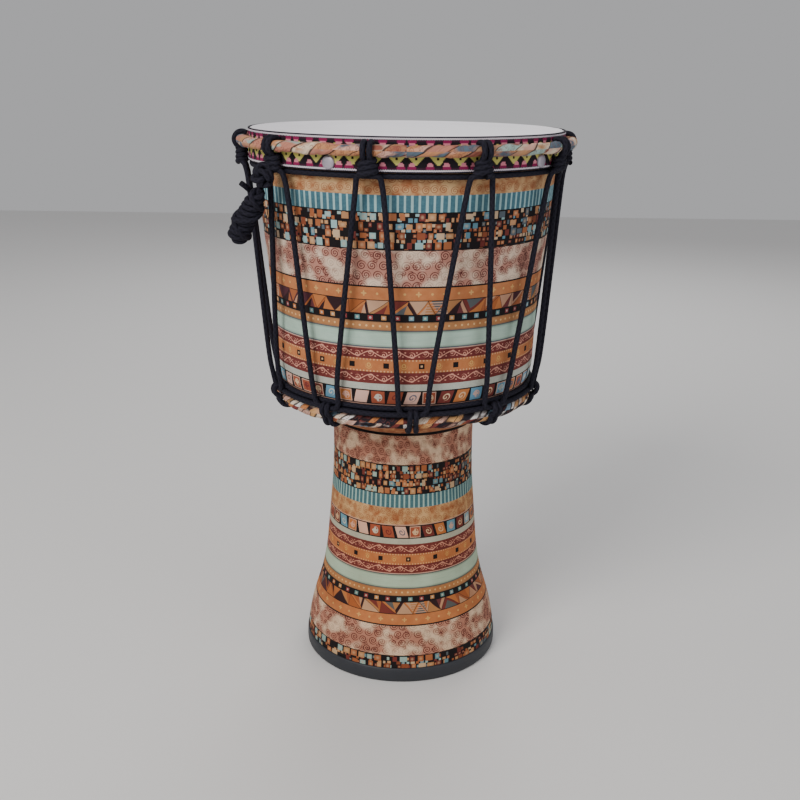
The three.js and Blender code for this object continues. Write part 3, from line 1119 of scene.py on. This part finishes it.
def make_wrap(name, ring, loops, seed, patch, colours, node):
    """A cloth tube twisted as it is wound on its steel ring: helical folds, nipped by the loops."""
    rng = random.Random(seed)
    steps, sides = 540, 20
    length = math.tau * ring["radius"]
    lay = 34.0
    folds = [0.0] * 2000

    def apart(a, b):
        return (a - b + length / 2) % length - length / 2

    position = 0.0
    while position < length - 8:
        position += rng.uniform(7, 15)
        depth, width = rng.uniform(0.35, 0.95), rng.uniform(0.9, 1.8)
        for i in range(len(folds)):
            gap = apart(length * i / len(folds), position)
            if abs(gap) < 4 * width:
                folds[i] += depth * math.exp(-((gap / width) ** 2))
    nips = [math.radians(angle) * ring["radius"] for angle in loops]

    def place(i, j):
        s = length * i / steps
        turn = math.tau * j / sides
        helix = s - lay * turn / math.tau
        dent = folds[round(helix / length * len(folds)) % len(folds)]
        gap = min(abs(apart(s, nip)) for nip in nips)
        dent += 0.7 * math.exp(-((gap / 4.5) ** 2))
        swell = 0.3 * math.sin(helix * 0.21) + 0.25 * math.sin(s * 0.13 + 2 * turn)
        r = ring["wrap"] + 0.15 + swell - dent
        radius = ring["radius"] + r * math.cos(turn)
        return around(360 * i / steps, radius, ring["height"] + r * math.sin(turn))

    def coordinate(i, j):
        return (ring["wrap"] * math.tau * j / sides * MM, length * i / steps * MM)

    wrap = grid(name, steps, sides, place, coordinate, True)
    girth = math.tau * ring["wrap"]
    cloth = twisted_cloth_material(name + "_print", patch, lay / girth, colours, float(seed))
    finish(wrap, cloth, "ring_cloth", node)
    cut = (length * MM, girth * MM)
    cut[0] * cut[1] * 0.5


def make_tacks(nickel):
    """Low domes that face outwards through the ribbon."""
    rows = [(5, -0.3), (5, 0.4), (4.8, 0.9), (4.2, 1.3), (3, 1.6), (1.6, 1.75), (0.1, 1.8)]
    sides = 32
    for i, angle in enumerate(TACK_ANGLES):
        outward = around(angle, 1, 0).normalized()
        across = around(angle + 90, 1, 0).normalized()
        seat = around(angle, 126.85, TACK_HEIGHT)

        def place(row, j):
            turn = math.tau * j / sides
            r, lift = rows[row]
            ring = across * math.cos(turn) + Vector((0, 0, 1)) * math.sin(turn)
            return seat + ring * (r * MM) + outward * (lift * MM)

        def coordinate(row, j):
            return (j / sides, rows[row][0] * MM)

        tack = grid(f"tack_{i + 1}", len(rows), sides, place, coordinate)
        finish(tack, nickel, "tack_nickel", f"head_stud_{i + 1}")


def main():
    make_camera()
    braid = rope_material()
    make_tail(braid)
    plastic = speckled("shell_moulding", tint(36, 34, 35), tint(58, 55, 55), 0.55)
    rubber = speckled("foot_rubber", tint(24, 26, 31), tint(44, 47, 54), 0.55, scale=1.2)
    nickel = speckled("nickel", tint(158, 150, 162), tint(190, 183, 194), 0.46, 0.75, 0.9, 0.1)
    steel = speckled("rod_steel", tint(120, 120, 124), tint(170, 170, 174), 0.35, 1.0)
    make_body(plastic, rubber)
    make_skins()
    make_head(head_material())
    make_ribbon()
    tops = [TOP_LACE_ANGLE + i * LACE_STEP for i in range(LACES)]
    lows = [angle + LACE_STEP / 2 + TWIST for angle in tops]
    make_wrap("crown_cloth", CROWN, tops, 1, 17, CROWN_SCRAPS, "crown_wrap")
    make_wrap("lower_cloth", LOWER, lows, 2, 7, LOWER_SCRAPS, "lower_wrap")
    make_tacks(nickel)
    make_laces(braid)
    for i, (radius, height) in enumerate(WAIST_ROPES):
        rope_ring(f"waist_pass_{i + 1}", radius, height, braid, 0.35, i, f"waist_rope_{i + 1}")
    rope_ring("upper_tie", *UPPER_CORD, braid, 0.2, 9, "upper_cord")
    make_tail_knot(braid)
    for node in ("crown_hoop", "lower_hoop", "flesh_hoop"):
        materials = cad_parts[node].data.materials
        materials.clear()
        materials.append(steel)
    make_studio()


main()
